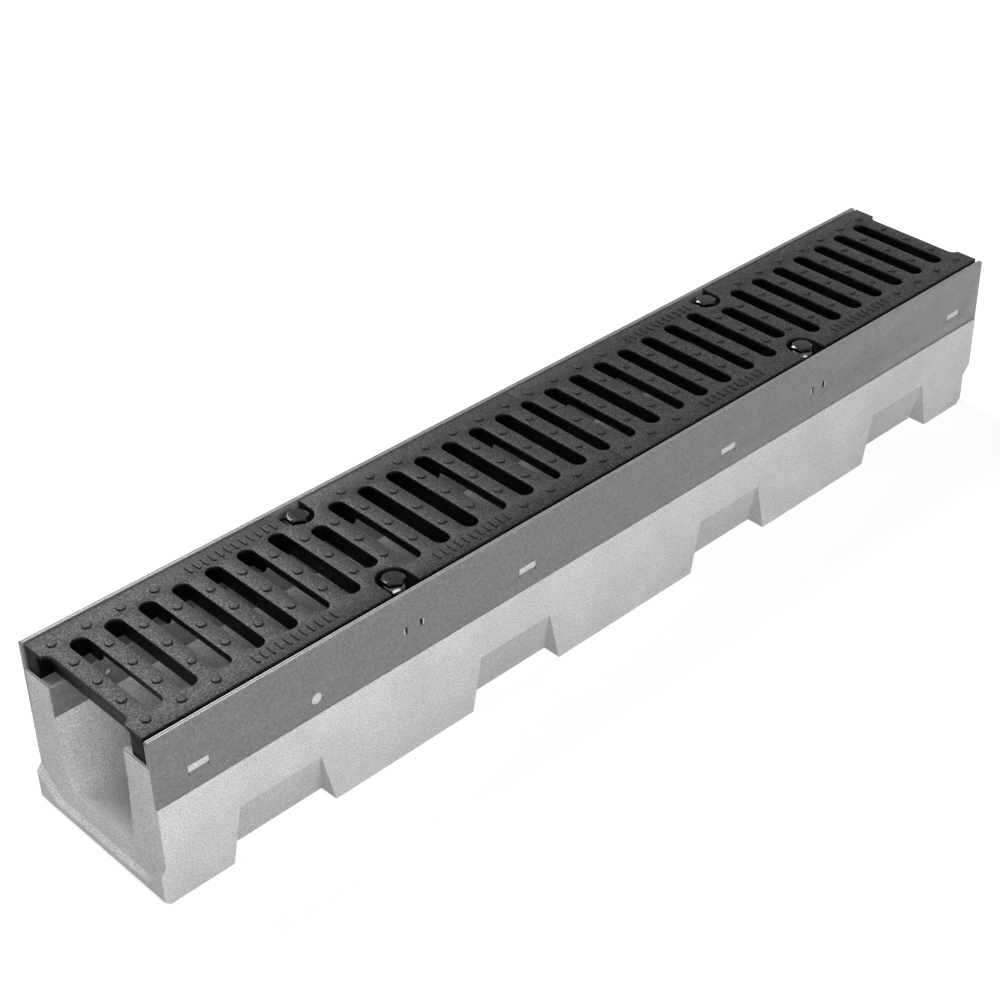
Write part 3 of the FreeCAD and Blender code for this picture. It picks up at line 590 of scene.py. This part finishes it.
centre = {}
for corner in CORNERS:
    low, high = (np.array(side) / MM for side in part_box("bolt_" + corner))
    seat = high[2] - HEAD
    centre[corner] = ((low[0] + high[0]) / 2, (low[1] + high[1]) / 2, seat)
    shank = turned(thread_profile(SHANK, seat - low[2], THREAD_PITCH), columns=24)
    shells = [set_out(rows, [centre[corner]]) for rows in (hexagon_head(FLATS, HEAD), shank)]
    piece("bolt_" + corner + "_steel", grid_shells("bolt", *shells, crease=20), bolt_steel,
          "bolt_steel", "bolt_" + corner)
print("bolt heads at mm:", {corner: [round(float(v), 1) for v in spot]
                            for corner, spot in centre.items()})

# %% [markdown]
# ### Washers
# Each bolt presses on a thick conical washer that keeps it tight under traffic. Its flank
# slopes by a little over 50 degrees and bulges, so it mirrors the key lamp as a bright oval
# while the rest of it mirrors the dark pocket.

# %% Conical washers
BORE, NECK, RIM = 6.3, 9.2, 12.1      # mm, radius of the hole, of the top and of the foot
FALL = 3.8                            # mm that the flank falls by
BULGE = (0.15, 0.11)                  # mm outwards and up, half way down the flank
EDGE = 0.2                            # mm, chamfer of the lower edges


def washer_profile(tall):
    """Profile that stands on z = 0. The flank is a straight line from the neck to the rim,
    plus half a wave of a sine, outwards and up."""
    part = np.linspace(0, 1, 9)
    wave = np.sin(np.pi * part)
    flank = np.stack((NECK + (RIM - NECK) * part + BULGE[0] * wave,
                      tall - FALL * part + BULGE[1] * wave), axis=-1)
    return [(BORE, EDGE), (BORE, tall), *flank.tolist(), (RIM, EDGE), (RIM - EDGE, 0),
            (BORE + EDGE, 0), (BORE, EDGE)]


for corner in CORNERS:
    x, y, seat = centre[corner]
    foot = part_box("washer_" + corner)[0][2] / MM
    ring = set_out(turned(washer_profile(seat - foot), columns=48), [(x, y, foot)])
    washer = piece("washer_" + corner + "_steel", grid_shells("washer", ring), washer_steel,
                   "bolt_steel", "washer_" + corner)
print("washer faces:", len(washer.data.polygons))

# %% [markdown]
# ### Nuts and cages
# These solids are right as they are: a hexagon nut caught in a bent strip of sheet. Only the
# cage's two tabs are seen, as bright slips in the pair of openings in each rail. They keep
# their CAD meshes and get a material.

# %% Nuts and cages
for corner in CORNERS:
    for kind in ("nut_", "nut_cage_"):
        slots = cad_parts[kind + corner].data.materials
        slots.clear()
        slots.append(cage_steel)
print("nodes kept as they are:", 2 * len(CORNERS))

# %% [markdown]
# ## Studio
# A product table: a white floor, an even pale room and four soft lamps. The floor and the
# room are shown white to the camera and in gloss, through the light path, while the light
# they throw on the object stays at a plain level. The floor that is seen is a glow with a
# grey that the lamps light: together they clip to white, and where the object keeps the lamps
# off, its soft shadow stays. Far out, where the lamps don't reach, the glow alone is white.

# %% Floor and room
EVEN_LIGHT = 0.08                   # strength of the room's light on the object
FLOOR_HALF = 8.0                    # m
FLOOR_DROP = -0.2 * MM              # a hair below the concrete, so that the two don't flicker
GLOW, GLOW_FAR = 0.8, 1.0           # strength near the object and far out
LIT, UNLIT = 1500, 4000             # mm from the middle, where the lamps' light fades


def seen_directly(tree):
    """One for rays from the camera, from gloss or through glass, otherwise nought."""
    path = add(tree, "LightPath")
    gloss = add(tree, "Math", {0: path["Is Glossy Ray"], 1: path["Is Transmission Ray"]},
                operation="MAXIMUM")[0]
    return add(tree, "Math", {0: path["Is Camera Ray"], 1: gloss}, operation="MAXIMUM")[0]


floor_corners = [(x * FLOOR_HALF, y * FLOOR_HALF, FLOOR_DROP)
                 for x, y in ((-1, -1), (1, -1), (1, 1), (-1, 1))]
floor_mesh = bpy.data.meshes.new("floor")
floor_mesh.from_pydata(floor_corners, [], [(0, 1, 2, 3)])
floor = bpy.data.objects.new("floor", floor_mesh)
bpy.context.scene.collection.objects.link(floor)
paper, tree, shader, where = new_material("floor_white_paper", Roughness=0.9,
                                          Base_Color=linear("#BEBEBE"))
away = add(tree, "VectorMath", {0: where}, operation="LENGTH")["Value"]
strength = add(tree, "MapRange", {0: away, 1: LIT, 2: UNLIT, 3: GLOW, 4: GLOW_FAR})[0]
glow = add(tree, "Emission", {"Color": (1, 1, 1, 1), "Strength": strength})[0]
shadow = add(tree, "BsdfDiffuse", {"Color": linear("#909090")})[0]
shown = add(tree, "AddShader", {0: glow, 1: shadow})[0]
mixed = add(tree, "MixShader", {0: seen_directly(tree), 1: shader.outputs[0], 2: shown})[0]
tree.links.new(mixed, tree.nodes["Material Output"].inputs["Surface"])
floor_mesh.materials.append(paper)

world = bpy.data.worlds.new("studio")
bpy.context.scene.world = world
world.use_nodes = True
tree = world.node_tree
tree.nodes.clear()
soft = add(tree, "Background", {"Color": (1, 1, 1, 1), "Strength": EVEN_LIGHT})[0]
white = add(tree, "Background", {"Color": (1, 1, 1, 1), "Strength": 1.0})[0]
mixed = add(tree, "MixShader", {0: seen_directly(tree), 1: soft, 2: white})[0]
add(tree, "OutputWorld", {"Surface": mixed})
print("even light:", EVEN_LIGHT)

# %% [markdown]
# ### Lamps
# All are rectangles, like the soft boxes of a studio, and smooth metal mirrors them as such.
# The key lamp stands in front and to the left, so that the long side is brighter than the
# end. The back lamp grazes the top, so that the iron takes its sheen and the rails' upper
# folds show as light lines. The sheen lamp adds to it where the near half of the gratings
# mirrors it, and is narrow, so that the bolt heads don't. The mouth lamp is weak and reaches
# into the near end of the channel.

# %% Lamps
LAMPS = {      # place and target in m, size in m, power in W
    "key": ((-0.85, -2.3, 1.7), (0, 0, 0.1), (2.8, 1.0), 77),
    "back": ((-0.15, 1.9, 2.45), (0, 0, 0.1), (2.4, 1.3), 88),
    "sheen": ((0.7, 2.5, 2.45), (-0.4, 0, 0.16), (0.8, 1.0), 66),
    "mouth": ((-2.1, -0.4, 1.9), (-0.4, 0, 0.05), (1.2, 1.2), 1.8),
}
for name, (place, target, size, power) in LAMPS.items():
    data = bpy.data.lights.new(name, "AREA")
    data.shape = "RECTANGLE"
    data.size, data.size_y = size
    data.energy = power
    lamp = bpy.data.objects.new(name, data)
    aim = Vector(target) - Vector(place)
    lamp.matrix_world = (Matrix.Translation(place)
                         @ aim.to_track_quat("-Z", "Y").to_matrix().to_4x4())
    bpy.context.scene.collection.objects.link(lamp)
bpy.context.scene.view_settings.view_transform = "Standard"
print("lamps:", {name: values[3] for name, values in LAMPS.items()})
